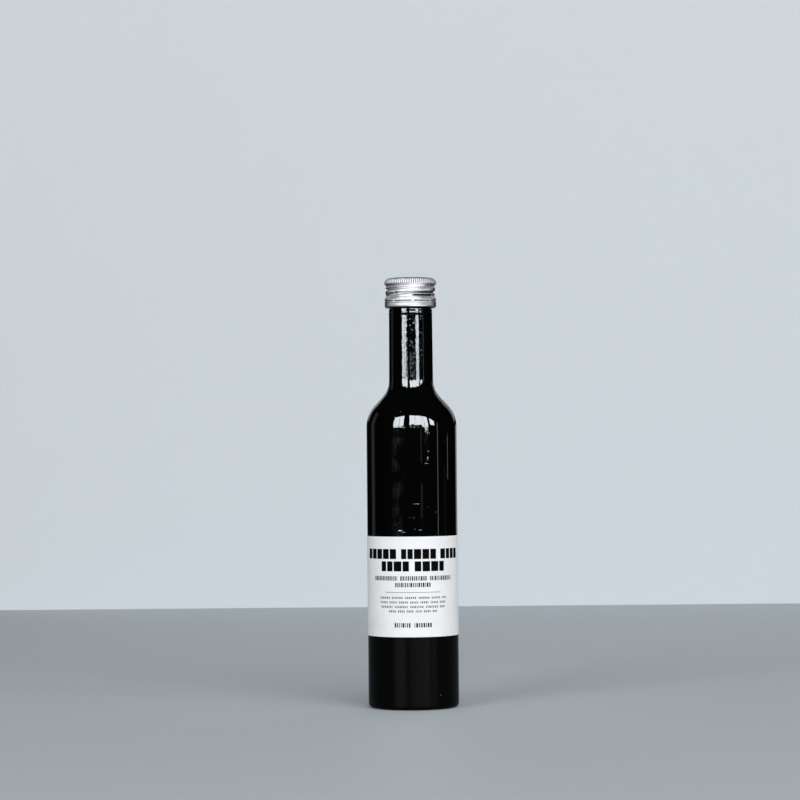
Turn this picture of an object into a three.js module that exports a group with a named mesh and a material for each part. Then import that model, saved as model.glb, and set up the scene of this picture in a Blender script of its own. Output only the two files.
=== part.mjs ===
// A slim round bottle of dark vinegar, shut: near-black glass, a rolled-on aluminium screw cap and a paper label.
// Millimetres, +Z up. The origin is on the bottle's axis, on the plane that it stands on, and the label faces -Y.
import * as THREE from "three";

const TOTAL_HEIGHT = 257.8;

// The glass body, from its foot to its shoulder.
const BODY_RADIUS = 27.1;
const HEEL_RADIUS = 2.5;
const FOOT_RING_WIDTH = 3;
const PUNT_HEIGHT = 3.4;
const SHOULDER_START = 167.9;
const SHOULDER_RADIUS = 20;
const SLOPE_ANGLE = THREE.MathUtils.degToRad(42.5);

// The neck. It narrows a little on the way up, to a fine mould seam just under the cap.
const NECK_FILLET_RADIUS = 15.2;
const NECK_FOOT_RADIUS = 13.15;
const NECK_TOP_RADIUS = 12.95;
const SEAM_HEIGHT = 236.8;
const SEAM_LOWER_FLANK = 1.4;
const SEAM_UPPER_FLANK = 0.6;
const SEAM_RELIEF = 0.14;
const MOUTH_RADIUS = 12.6;
const MOUTH_HEIGHT = 256.6;

// The screw cap. A drop is a distance down from the cap's flat top.
const CAP_HEIGHT = 17.8;
const CAP_BORE_RADIUS = 13.1;
const CAP_TOP_THICKNESS = 0.85;
const CROWN_RADIUS = 15.65;
const CROWN_CORNER = 2.8;
const CROWN_HEEL = 1.8;
const CROWN_HEEL_ANGLE = THREE.MathUtils.degToRad(-62);
const HOLLOW_RADIUS = 14.4;
const HOLLOW_DROP = 4.95;
const SKIRT_RADIUS = 14.95;
const SKIRT_START_DROP = 6.1;
const SKIRT_END_DROP = 9.3;
const WAIST_RADIUS = 14.45;
const WAIST_DROP = 10.5;
const BAND_RADIUS = 15.5;
const BAND_TOP_DROP = 13.1;
const BAND_DENT = 0.12;
const BAND_DENT_DROP = 15.6;
const BAND_CURL = 1.1;

// The knurl round the crown.
const KNURL_COUNT = 72;
const KNURL_DEPTH = 0.3;
const KNURL_FIRST_DROP = 0.75;
const KNURL_LAST_DROP = 3.6;

// The right-hand thread groove that is rolled into the skirt. Its upper flank is narrower than its lower one.
const THREAD_PITCH = 3.175;
const THREAD_DROP_AT_PLUS_X = 8.29;
const THREAD_FADE_IN_DROP = 4.6;
const THREAD_FIRST_DROP = 7;
const THREAD_LAST_DROP = 9.2;
const THREAD_FADE_OUT_DROP = 9.8;
const THREAD_DEPTH = 1.25;
const THREAD_UPPER_WIDTH = 0.78;
const THREAD_LOWER_WIDTH = 1.52;

// The broken line between cap and tamper ring, with its bridges.
const SLIT_DROP = 13.95;
const SLIT_HALF_HEIGHT = 0.2;
const SLIT_LIP = 0.1;
const SLIT_DEPTH = 0.5;
const BRIDGE_COUNT = 8;
const BRIDGE_HALF_ANGLE = THREE.MathUtils.degToRad(2.6);
const FIRST_BRIDGE_ANGLE = THREE.MathUtils.degToRad(-85);

// The label goes nearly all the way round, with a bare strip of glass at the back.
const LABEL_BOTTOM = 43.5;
const LABEL_HEIGHT = 59.5;
const LABEL_CLEARANCE = 0.06;
const LABEL_THICKNESS = 0.24;
const LABEL_GAP = 8;

// How finely the round shapes are cut.
const GLASS_SEGMENTS = 64;
const CAP_SEGMENTS = 2 * KNURL_COUNT;
const LABEL_SEGMENTS = 60;

function arc(centreRadius, centreHeight, radius, from, to, steps) {
  const points = [];
  for (let i = 0; i <= steps; i++) {
    const angle = from + ((to - from) * i) / steps;
    points.push(
      new THREE.Vector2(centreRadius + radius * Math.cos(angle), centreHeight + radius * Math.sin(angle)),
    );
  }
  return points;
}

// A solid turned about +Z from a profile of (radius, height) points.
function turned(profile, segments) {
  return new THREE.LatheGeometry(profile, segments).rotateX(Math.PI / 2);
}

function puntProfile() {
  const rim = BODY_RADIUS - HEEL_RADIUS - FOOT_RING_WIDTH;
  const radius = (rim ** 2 + PUNT_HEIGHT ** 2) / (2 * PUNT_HEIGHT);
  const rimAngle = Math.acos(rim / radius);
  const points = arc(0, PUNT_HEIGHT - radius, radius, Math.PI / 2, rimAngle, 4);
  points[0].x = 0;
  points.at(-1).y = 0;
  return points;
}

// The round of the shoulder, its straight slope and the fillet into the neck, all tangent to each other.
function shoulderProfile() {
  const slopeFoot = new THREE.Vector2(
    BODY_RADIUS - SHOULDER_RADIUS * (1 - Math.cos(SLOPE_ANGLE)),
    SHOULDER_START + SHOULDER_RADIUS * Math.sin(SLOPE_ANGLE),
  );
  const slopeTopRadius = NECK_FOOT_RADIUS + NECK_FILLET_RADIUS * (1 - Math.cos(SLOPE_ANGLE));
  const slopeLength = (slopeFoot.x - slopeTopRadius) / Math.sin(SLOPE_ANGLE);
  const neckStart =
    slopeFoot.y + slopeLength * Math.cos(SLOPE_ANGLE) + NECK_FILLET_RADIUS * Math.sin(SLOPE_ANGLE);
  const filletCentre = NECK_FOOT_RADIUS + NECK_FILLET_RADIUS;
  return [
    ...arc(BODY_RADIUS - SHOULDER_RADIUS, SHOULDER_START, SHOULDER_RADIUS, 0, SLOPE_ANGLE, 7),
    ...arc(filletCentre, neckStart, NECK_FILLET_RADIUS, Math.PI + SLOPE_ANGLE, Math.PI, 6),
  ];
}

function neckProfile() {
  return [
    new THREE.Vector2(NECK_TOP_RADIUS, SEAM_HEIGHT - SEAM_LOWER_FLANK),
    new THREE.Vector2(NECK_TOP_RADIUS + SEAM_RELIEF, SEAM_HEIGHT),
    new THREE.Vector2(NECK_TOP_RADIUS, SEAM_HEIGHT + SEAM_UPPER_FLANK),
    new THREE.Vector2(NECK_TOP_RADIUS, TOTAL_HEIGHT - CAP_HEIGHT),
    new THREE.Vector2(MOUTH_RADIUS, TOTAL_HEIGHT - CAP_HEIGHT + 1),
    new THREE.Vector2(MOUTH_RADIUS, MOUTH_HEIGHT),
    new THREE.Vector2(0, MOUTH_HEIGHT),
  ];
}

// The glass is too dark to be seen into, so the shut bottle is solid.
function glassGeometry() {
  const heelCentre = BODY_RADIUS - HEEL_RADIUS;
  const profile = [
    ...puntProfile(),
    ...arc(heelCentre, HEEL_RADIUS, HEEL_RADIUS, -Math.PI / 2, 0, 4),
    new THREE.Vector2(BODY_RADIUS, SHOULDER_START / 2),
    ...shoulderProfile(),
    ...neckProfile(),
  ];
  return turned(profile, GLASS_SEGMENTS);
}

function dropPoint(radius, drop) {
  return new THREE.Vector2(radius, TOTAL_HEIGHT - drop);
}

// The crown's rounded underside and the larger round over its edge.
function crownProfile() {
  const height = TOTAL_HEIGHT - CROWN_CORNER;
  return [
    ...arc(CROWN_RADIUS - CROWN_HEEL, height, CROWN_HEEL, CROWN_HEEL_ANGLE, 0, 3).slice(0, -1),
    ...arc(CROWN_RADIUS - CROWN_CORNER, height, CROWN_CORNER, 0, Math.PI / 2, 4),
  ];
}

// The skirt's radius between the crown and the band, with a smooth step from each of its levels to the next.
function skirtRadius(drop) {
  const levels = [
    [BAND_TOP_DROP, BAND_RADIUS],
    [WAIST_DROP, WAIST_RADIUS],
    [SKIRT_END_DROP, SKIRT_RADIUS],
    [SKIRT_START_DROP, SKIRT_RADIUS],
    [HOLLOW_DROP, HOLLOW_RADIUS],
  ];
  let radius = BAND_RADIUS;
  for (let i = 1; i < levels.length; i++) {
    const [lowerDrop, lowerRadius] = levels[i - 1];
    const [upperDrop, upperRadius] = levels[i];
    const share = THREE.MathUtils.smoothstep(lowerDrop - drop, 0, lowerDrop - upperDrop);
    radius += (upperRadius - lowerRadius) * share;
  }
  return radius;
}

function skirtProfile() {
  const rings = 10;
  const drops = [BAND_TOP_DROP, (BAND_TOP_DROP + WAIST_DROP) / 2];
  for (let i = 0; i <= rings; i++) {
    drops.push(WAIST_DROP + ((HOLLOW_DROP - WAIST_DROP) * i) / rings);
  }
  return drops.map((drop) => dropPoint(skirtRadius(drop), drop));
}

function bandProfile() {
  const curlCentre = BAND_RADIUS - BAND_CURL;
  const slitEdge = SLIT_HALF_HEIGHT + SLIT_LIP;
  return [
    ...arc(curlCentre, TOTAL_HEIGHT - CAP_HEIGHT + BAND_CURL, BAND_CURL, -Math.PI / 2, 0, 3),
    dropPoint(BAND_RADIUS - BAND_DENT, BAND_DENT_DROP),
    dropPoint(BAND_RADIUS, SLIT_DROP + slitEdge),
    dropPoint(BAND_RADIUS, SLIT_DROP + SLIT_HALF_HEIGHT),
    dropPoint(BAND_RADIUS, SLIT_DROP - SLIT_HALF_HEIGHT),
  ];
}

function knurlDepth(angle, drop) {
  const inBand = drop > KNURL_FIRST_DROP && drop < KNURL_LAST_DROP;
  return inBand ? (KNURL_DEPTH * (1 - Math.cos(KNURL_COUNT * angle))) / 2 : 0;
}

function threadDepth(angle, drop) {
  const turn = angle / (2 * Math.PI);
  let depth = 0;
  for (let k = -2; k <= 3; k++) {
    const centre = THREAD_DROP_AT_PLUS_X + (k - turn) * THREAD_PITCH;
    const width = drop > centre ? THREAD_LOWER_WIDTH : THREAD_UPPER_WIDTH;
    const across = Math.abs(drop - centre) / width;
    if (across >= 1) continue;
    const fadeIn = THREE.MathUtils.smoothstep(centre, THREAD_FADE_IN_DROP, THREAD_FIRST_DROP);
    const fadeOut = THREE.MathUtils.smoothstep(centre, THREAD_LAST_DROP, THREAD_FADE_OUT_DROP);
    const shape = Math.cos((across * Math.PI) / 2) ** 2;
    depth = Math.max(depth, THREAD_DEPTH * fadeIn * (1 - fadeOut) * shape);
  }
  return depth;
}

function slitDepth(angle, drop) {
  if (Math.abs(drop - SLIT_DROP) > SLIT_HALF_HEIGHT + SLIT_LIP / 2) return 0;
  const spacing = (2 * Math.PI) / BRIDGE_COUNT;
  const offset = angle - FIRST_BRIDGE_ANGLE;
  const fromBridge = Math.abs(offset - spacing * Math.round(offset / spacing));
  return fromBridge < BRIDGE_HALF_ANGLE ? 0 : SLIT_DEPTH;
}

// A closed shell with a plain bore. Its outer face is then pressed in by the knurl, the thread and the slits.
function capGeometry() {
  const ceiling = TOTAL_HEIGHT - CAP_TOP_THICKNESS;
  const profile = [
    new THREE.Vector2(0, ceiling),
    new THREE.Vector2(CAP_BORE_RADIUS, ceiling),
    new THREE.Vector2(CAP_BORE_RADIUS, TOTAL_HEIGHT - CAP_HEIGHT),
    ...bandProfile(),
    ...skirtProfile(),
    ...crownProfile(),
    new THREE.Vector2(0, TOTAL_HEIGHT),
  ];
  const geometry = turned(profile, CAP_SEGMENTS);
  const position = geometry.getAttribute("position");
  const outerFace = (CAP_BORE_RADIUS + WAIST_RADIUS) / 2;
  for (let i = 0; i < position.count; i++) {
    const x = position.getX(i);
    const y = position.getY(i);
    const radius = Math.hypot(x, y);
    const drop = TOTAL_HEIGHT - position.getZ(i);
    if (radius < outerFace && drop > KNURL_FIRST_DROP) continue;
    const angle = Math.atan2(y, x);
    const pressed = knurlDepth(angle, drop) + threadDepth(angle, drop) + slitDepth(angle, drop);
    const scale = radius > 0 ? (radius - pressed) / radius : 1;
    position.setXY(i, x * scale, y * scale);
  }
  return geometry;
}

function labelGeometry() {
  const inner = BODY_RADIUS + LABEL_CLEARANCE;
  const outer = inner + LABEL_THICKNESS;
  const halfGap = LABEL_GAP / 2 / BODY_RADIUS;
  const start = Math.PI / 2 + halfGap;
  const end = (5 * Math.PI) / 2 - halfGap;
  const outline = new THREE.Shape();
  outline.absarc(0, 0, outer, start, end, false);
  outline.absarc(0, 0, inner, end, start, true);
  return new THREE.ExtrudeGeometry(outline, {
    depth: LABEL_HEIGHT,
    bevelEnabled: false,
    curveSegments: LABEL_SEGMENTS,
  }).translate(0, 0, LABEL_BOTTOM);
}

function named(name, geometry, material) {
  const mesh = new THREE.Mesh(geometry, material);
  mesh.name = name;
  return mesh;
}

const darkGlass = new THREE.MeshStandardMaterial({ color: 0x0b0e0e, roughness: 0.05, metalness: 0 });
const aluminium = new THREE.MeshStandardMaterial({ color: 0xc9cbd0, roughness: 0.3, metalness: 1 });
const labelPaper = new THREE.MeshStandardMaterial({ color: 0xf2f3f5, roughness: 0.75, metalness: 0 });

const vinegarBottle = new THREE.Group();
vinegarBottle.add(
  named("glass_bottle", glassGeometry(), darkGlass),
  named("screw_cap", capGeometry(), aluminium),
  named("paper_label", labelGeometry(), labelPaper),
);

export default vinegarBottle;
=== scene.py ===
"""A slim round bottle of dark vinegar, with a rolled-on aluminium cap and a paper label round it.

It is laid out as an add-on for Blender 4.5 and runs as a script. Each operator makes one kind of piece in
metres, in the part's own frame: +Z up, the origin under the bottle's axis, the label's front towards -Y.
"""

import math
from collections import namedtuple

import bpy
from mathutils import Matrix, Vector


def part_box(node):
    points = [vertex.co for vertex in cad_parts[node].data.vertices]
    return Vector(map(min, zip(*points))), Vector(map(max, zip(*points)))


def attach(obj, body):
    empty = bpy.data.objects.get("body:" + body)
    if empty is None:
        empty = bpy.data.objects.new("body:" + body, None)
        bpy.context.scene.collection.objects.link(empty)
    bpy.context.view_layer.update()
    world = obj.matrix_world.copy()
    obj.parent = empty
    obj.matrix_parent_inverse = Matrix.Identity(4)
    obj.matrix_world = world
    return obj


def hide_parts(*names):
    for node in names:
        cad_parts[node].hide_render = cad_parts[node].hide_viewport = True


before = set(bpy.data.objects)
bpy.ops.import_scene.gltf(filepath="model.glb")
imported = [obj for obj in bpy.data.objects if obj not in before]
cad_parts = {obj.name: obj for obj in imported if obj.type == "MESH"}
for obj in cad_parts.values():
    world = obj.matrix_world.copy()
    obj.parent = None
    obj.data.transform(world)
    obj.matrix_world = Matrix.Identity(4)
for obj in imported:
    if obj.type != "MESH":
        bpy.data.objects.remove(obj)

bl_info = {
    "name": "Vinegar Bottle",
    "version": (1, 0, 0),
    "blender": (4, 5, 0),
    "location": "View3D > Sidebar > Vinegar Bottle",
    "description": "Makes a dark glass vinegar bottle with its screw cap, its label and a plain stage",
    "category": "Add Mesh",
}

MM = 0.001
FULL_TURN = 2 * math.pi

# The solids' boxes, which the pieces take their sizes from.
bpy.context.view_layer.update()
GLASS_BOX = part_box("glass_bottle")
CAP_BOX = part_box("screw_cap")
LABEL_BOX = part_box("paper_label")


# Properties

def length(name, description, metres):
    return bpy.props.FloatProperty(
        name=name, description=description, default=metres, unit="LENGTH", precision=5
    )


def angle(name, description, degrees):
    return bpy.props.FloatProperty(
        name=name, description=description, default=math.radians(degrees), subtype="ANGLE"
    )


def number(name, description, default):
    return bpy.props.FloatProperty(name=name, description=description, default=default)


def count(name, description, default):
    return bpy.props.IntProperty(name=name, description=description, default=default, min=1)


def colour(name, description, default):
    return bpy.props.FloatVectorProperty(
        name=name, description=description, default=default, size=3, subtype="COLOR", min=0, max=1
    )


def group(kind):
    return bpy.props.PointerProperty(type=kind)


class GlassSettings(bpy.types.PropertyGroup):
    """The bottle's profile, from its foot to its mouth."""

    body_radius: length("Body radius", "Radius of the straight body", GLASS_BOX[1].x)
    heel_radius: length("Heel radius", "Rounding between the body and the foot", 2.5 * MM)
    foot_width: length("Foot width", "Width of the flat ring that the bottle stands on", 3 * MM)
    punt_height: length("Punt height", "How far the underside rises inside the foot", 3.4 * MM)
    shoulder_start: length("Shoulder start", "Height where the body starts to turn in", 167.9 * MM)
    shoulder_radius: length("Shoulder radius", "Rounding of the shoulder", 20 * MM)
    slope: angle("Slope", "How far the shoulder turns in from upright", 42.5)
    fillet_radius: length("Fillet radius", "Rounding between the slope and the neck", 15.2 * MM)
    neck_foot_radius: length("Neck foot radius", "Radius of the neck above the fillet", 13.15 * MM)
    neck_top_radius: length("Neck top radius", "Radius of the neck under the cap", 12.95 * MM)
    seam_height: length("Seam height", "Height of the mould's ring seam on the neck", 236.8 * MM)
    seam_lower: length("Seam lower flank", "Height of the ring seam's lower flank", 1.8 * MM)
    seam_upper: length("Seam upper flank", "Height of the ring seam's upper flank", 0.6 * MM)
    seam_relief: length("Seam relief", "How far the ring seam stands out", 0.14 * MM)
    side_seam_relief: length("Side seam relief", "How far the two upright mould seams stand out", 0.05 * MM)
    side_seam_width: length("Side seam width", "Half of an upright seam's width", 0.35 * MM)
    collar_height: length("Collar height", "Height of the undercut right under the cap", 1.0 * MM)
    collar_depth: length("Collar depth", "How far the undercut goes in", 0.5 * MM)
    bead_radius: length("Bead radius", "Radius of the bead of the finish, behind the cap's slits", 13 * MM)
    bead_foot: length("Bead foot", "Height of the bead above the cap's lower edge", 3 * MM)
    bead_top: length("Bead top", "Height of the hollow over the bead above the cap's lower edge", 5.4 * MM)
    mouth_radius: length("Mouth radius", "Radius of the finish that the cap hides", 12.6 * MM)
    knurl_count: count("Foot knurls", "Number of small bars round the foot", 96)
    knurl_length: length("Foot knurl length", "Length of a bar, outwards", 2.2 * MM)
    knurl_width: length("Foot knurl width", "Width of a bar", 0.55 * MM)
    knurl_height: length("Foot knurl height", "How far a bar stands down from the foot", 0.22 * MM)
    ior: number("Index", "How strongly the glass mirrors", 1.22)
    tint: colour("Glass tint", "Colour of the glass and what it holds", (0.0001, 0.0001, 0.0001))
    dust: colour("Dust", "Colour of dust and scuffs on the glass", (0.09, 0.09, 0.09))


class CapSettings(bpy.types.PropertyGroup):
    """The rolled aluminium cap. A drop is a distance down from its flat top."""

    crown_radius: length("Crown radius", "Radius of the knurled crown", CAP_BOX[1].x)
    crown_corner: length("Crown corner", "Rounding of the crown", 2.8 * MM)
    crown_heel: length("Crown heel", "Rounding of the crown's underside", 1.8 * MM)
    crown_turn: angle("Crown turn", "Where that rounding ends, below the crown's widest", 62)
    neck_radius: length("Neck radius", "Radius of the hollow under the crown", 14.4 * MM)
    neck_drop: length("Neck drop", "Drop of that hollow", 4.95 * MM)
    skirt_radius: length("Skirt radius", "Radius of the skirt between thread grooves", 14.95 * MM)
    skirt_start: length("Skirt start", "Drop where the skirt starts", 6.1 * MM)
    skirt_end: length("Skirt end", "Drop where the skirt turns into the waist", 9.3 * MM)
    waist_radius: length("Waist radius", "Radius of the waist above the flare", 14.45 * MM)
    waist_drop: length("Waist drop", "Drop of the waist", 10.5 * MM)
    band_radius: length("Band radius", "Radius of the tamper band", 15.5 * MM)
    band_drop: length("Band drop", "Drop where the flare reaches the band's radius", 13.1 * MM)
    band_dent: length("Band dent", "Depth of the shallow bead round the band", 0.12 * MM)
    band_dent_drop: length("Band dent drop", "Drop of that bead", 15.6 * MM)
    band_curl: length("Band curl", "Rounding of the band's lower edge", 1.1 * MM)
    wall: length("Wall", "Thickness of the metal", 0.22 * MM)
    knurl_count: count("Knurls", "Number of knurls round the crown", 72)
    knurl_depth: length("Knurl depth", "Depth of a knurl", 0.3 * MM)
    knurl_first: length("Knurl first drop", "Drop where the knurls start", 0.75 * MM)
    knurl_last: length("Knurl last drop", "Drop where the knurls end", 3.6 * MM)
    thread_pitch: length("Thread pitch", "Pitch of the rolled thread", 3.175 * MM)
    thread_drop: length("Thread drop", "Drop of the thread groove on the +X side", 8.29 * MM)
    thread_first: length("Thread first drop", "Drop where the groove reaches its depth", 7 * MM)
    thread_last: length("Thread last drop", "Drop where the groove ends", 9.2 * MM)
    thread_fade: length("Thread fade", "Drop over which the groove fades in", 2.4 * MM)
    thread_end: length("Thread end", "Drop over which the groove fades out", 0.6 * MM)
    thread_depth: length("Thread depth", "Depth of the groove", 1.25 * MM)
    thread_half_width: length("Thread half width", "Half of the groove's width", 1.15 * MM)
    upper_share: number("Upper share", "Width of the upper flank, as a share of half the groove's", 0.68)
    crease_drop: length("Crease drop", "Drop of the short crease where the thread runs out", 10.6 * MM)
    crease_start: angle("Crease start", "Angle of its left end from +X", -88)
    crease_end: angle("Crease end", "Angle of its right end from +X", -24)
    crease_depth: length("Crease depth", "Depth of the crease", 0.7 * MM)
    crease_half_width: length("Crease half width", "Half of the crease's width", 0.75 * MM)
    dimple_drop: length("Dimple drop", "Drop of the small dimple in the skirt", 9.0 * MM)
    dimple_turn: angle("Dimple turn", "Angle of the dimple from +X", -126)
    dimple_radius: length("Dimple radius", "Radius of the dimple", 0.85 * MM)
    slit_drop: length("Slit drop", "Drop of the broken line above the band", 13.95 * MM)
    slit_half_height: length("Slit half height", "Half of the slits' height", 0.32 * MM)
    bridge_count: count("Bridges", "Number of bridges between cap and band", 8)
    bridge_half_angle: angle("Bridge half angle", "Half of the angle that a bridge takes", 2.5)
    first_bridge: angle("First bridge", "Angle of one bridge from +X", -85)
    # The metal colour is reached only where a painted highlight brightens the knurls' tops. The dark colour
    # is the painted shade in the creases, dimple, thread flank, rim line and knurl bottoms, and scratches
    # darken the metal a little towards it; the plain metal sits at a share between the two.
    metal: colour("Metal", "Colour of the aluminium where it is highlighted", (0.778, 0.795, 0.83))
    shade_and_wear: colour("Shade and wear", "Colour of the metal deep in a crease", (0.02, 0.02, 0.022))
    plain_share: number("Plain share", "How far the plain metal goes from grime to metal, as a share", 0.62)


class LabelSettings(bpy.types.PropertyGroup):
    """The paper label, and the blocks, rule and dashes that stand for its print."""

    inner_radius: length("Inner radius", "Radius of the label's glued face", GLASS_BOX[1].x + 0.01 * MM)
    outer_radius: length("Outer radius", "Radius of the label's printed face", LABEL_BOX[1].x - 0.1 * MM)
    bottom: length("Bottom", "Height of the label's lower edge", LABEL_BOX[0].z)
    top: length("Top", "Height of the label's upper edge", LABEL_BOX[1].z)
    gap: length("Gap", "Bare glass between the label's ends, at the back", 8 * MM)
    ink_thickness: length("Ink thickness", "How far the print stands on the paper", 0.02 * MM)
    paper: colour("Paper", "Colour of the paper", (0.86, 0.87, 0.885))
    black_ink: colour("Black ink", "Colour of the bold print", (0.0012, 0.0012, 0.0014))
    grey_ink: colour("Grey ink", "Colour of the fine print", (0.16, 0.16, 0.17))


class StageSettings(bpy.types.PropertyGroup):
    """The camera, the plain floor and backdrop, and the soft window light."""

    camera_distance: length("Camera distance", "From the bottle's axis to the camera", 1.62)
    camera_height: length("Camera height", "Height of the camera above the floor", 0.152)
    lens: number("Lens", "Focal length, in millimetres, on a sensor 36 mm wide", 121)
    yaw: angle("Yaw", "How far the camera turns to its left", 0.24)
    pitch: angle("Pitch", "How far the camera looks up", 1.15)
    roll: angle("Roll", "How far the picture leans to its left", 0.5)
    floor_reach: length("Floor reach", "From the bottle's axis to the floor's edges", 2.2)
    backdrop_distance: length("Backdrop distance", "From the bottle's axis to the backdrop", 1.06)
    backdrop_left: length("Backdrop left", "Place of the backdrop's left edge", -0.45)
    backdrop_right: length("Backdrop right", "Place of the backdrop's right edge", 1.05)
    backdrop_top: length("Backdrop top", "Height of the backdrop", 1.2)
    window_distance: length("Window distance", "From the bottle's axis to the windows", 3.2)
    window_light: number("Window light", "Radiance of the windows", 4.65)
    window_glint: number("Window glint", "Radiance of the windows that the glass mirrors", 82)
    daylight: colour("Daylight", "Colour of the windows that the glass mirrors", (0.89, 0.95, 1.0))
    side_light: number("Side light", "Radiance of the soft light on the label's sides", 1.1)
    overhead_light: number("Overhead light", "Radiance of the soft light over the floor", 1)
    metal_light: number("Metal light", "Radiance of the soft panels that the metal mirrors", 1.85)
    room_light: number("Room light", "Radiance of the dark room", 0.004)
    floor: colour("Floor", "Colour of the floor", (0.62, 0.68, 0.72))
    floor_share: number("Floor share", "How bright the floor is in reflections, as a share", 0.3)
    backdrop: colour("Backdrop", "Colour of the backdrop", (0.7, 0.75, 0.785))
    surround: colour("Surround", "Colour seen past the backdrop", (0.62, 0.67, 0.69))


class BottleSettings(bpy.types.PropertyGroup):
    """Everything that a user would change."""

    glass: group(GlassSettings)
    cap: group(CapSettings)
    label: group(LabelSettings)
    stage: group(StageSettings)


# Node trees

class Value:
    """A number in a node tree. Python's operators on it add Math nodes."""

    def __init__(self, nodes, socket):
        self.nodes = nodes
        self.socket = socket

    def __add__(self, other):
        return self.nodes.math("ADD", self, other)

    def __radd__(self, other):
        return self.nodes.math("ADD", other, self)

    def __sub__(self, other):
        return self.nodes.math("SUBTRACT", self, other)

    def __rsub__(self, other):
        return self.nodes.math("SUBTRACT", other, self)

    def __mul__(self, other):
        return self.nodes.math("MULTIPLY", self, other)

    def __rmul__(self, other):
        return self.nodes.math("MULTIPLY", other, self)

    def __truediv__(self, other):
        return self.nodes.math("DIVIDE", self, other)

    def __rtruediv__(self, other):
        return self.nodes.math("DIVIDE", other, self)

    def __pow__(self, other):
        return self.nodes.math("POWER", self, other)

    def __mod__(self, other):
        return self.nodes.math("FLOORED_MODULO", self, other)

    def __gt__(self, other):
        return self.nodes.math("GREATER_THAN", self, other)

    def __lt__(self, other):
        return self.nodes.math("LESS_THAN", self, other)

    def __abs__(self):
        return self.nodes.math("ABSOLUTE", self)


class Nodes:
    """Adds nodes to one tree."""

    def __init__(self, tree):
        self.tree = tree
        tree.nodes.clear()

    def node(self, kind, inputs=None, **settings):
        """One node: its settings are set first, and then its sockets get their values or links."""
        made = self.tree.nodes.new(kind)
        for name, setting in settings.items():
            setattr(made, name, setting)
        for key, value in (inputs or {}).items():
            source = value.socket if isinstance(value, Value) else value
            if isinstance(source, bpy.types.NodeSocket):
                self.tree.links.new(source, made.inputs[key])
            else:
                made.inputs[key].default_value = source
        return made

    def math(self, operation, *values):
        made = self.node("ShaderNodeMath", dict(enumerate(values)), operation=operation)
        return Value(self, made.outputs[0])

    def largest(self, first, *others):
        for other in others:
            first = self.math("MAXIMUM", first, other)
        return first

    def smooth(self, value, low, high):
        """0 below low, 1 above high and a smooth step between them."""
        sockets = {"Value": value, "From Min": low, "From Max": high}
        made = self.node("ShaderNodeMapRange", sockets, interpolation_type="SMOOTHSTEP")
        return Value(self, made.outputs["Result"])

    def between(self, value, rise, full, fall, none):
        """0 up to rise, 1 from full to fall and 0 again past none, with smooth steps between them."""
        return self.smooth(value, rise, full) * (1 - self.smooth(value, fall, none))

    def axes(self, vector):
        parts = self.node("ShaderNodeSeparateXYZ", {"Vector": vector})
        return [Value(self, parts.outputs[axis]) for axis in "XYZ"]

    def vector(self, x, y, z):
        return self.node("ShaderNodeCombineXYZ", {"X": x, "Y": y, "Z": z}).outputs["Vector"]


class Shading(Nodes):
    """The nodes of one material, with a Principled shader at their end."""

    def __init__(self, name, **sockets):
        self.material = bpy.data.materials.new(name)
        self.material.use_nodes = True
        super().__init__(self.material.node_tree)
        self.place = self.node("ShaderNodeTexCoord").outputs["Object"]
        self.shader = self.node("ShaderNodeBsdfPrincipled", sockets_of(sockets))
        self.end = self.node("ShaderNodeOutputMaterial", {"Surface": self.shader.outputs["BSDF"]})

    def stretched(self, x, y, z):
        """The place on the piece, scaled along each axis."""
        sockets = {"Vector": self.place, "Scale": (x, y, z)}
        return self.node("ShaderNodeMapping", sockets).outputs["Vector"]

    def noise(self, vector, scale, detail=2, roughness=0.5):
        sockets = {"Vector": vector, "Scale": scale, "Detail": detail, "Roughness": roughness}
        return Value(self, self.node("ShaderNodeTexNoise", sockets).outputs["Fac"])

    def cells(self, vector, scale):
        made = self.node("ShaderNodeTexVoronoi", {"Vector": vector, "Scale": scale})
        return Value(self, made.outputs["Distance"])

    def blend(self, factor, first, second):
        """A colour between two others, which are the Mix node's sockets 6 and 7."""
        sockets = {"Factor": factor, 6: (*first, 1), 7: (*second, 1)}
        return self.node("ShaderNodeMix", sockets, data_type="RGBA").outputs[2]

    def feed(self, socket, value):
        source = value.socket if isinstance(value, Value) else value
        self.tree.links.new(source, self.shader.inputs[socket])

    def bump(self, height, distance):
        made = self.node("ShaderNodeBump", {"Height": height, "Distance": distance})
        self.feed("Normal", made.outputs["Normal"])


def sockets_of(settings):
    """Turns words such as base_color into the shader's own socket names."""
    return {
        name.replace("_", " ").title().replace("Ior", "IOR"): value
        for name, value in settings.items()
    }


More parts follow.
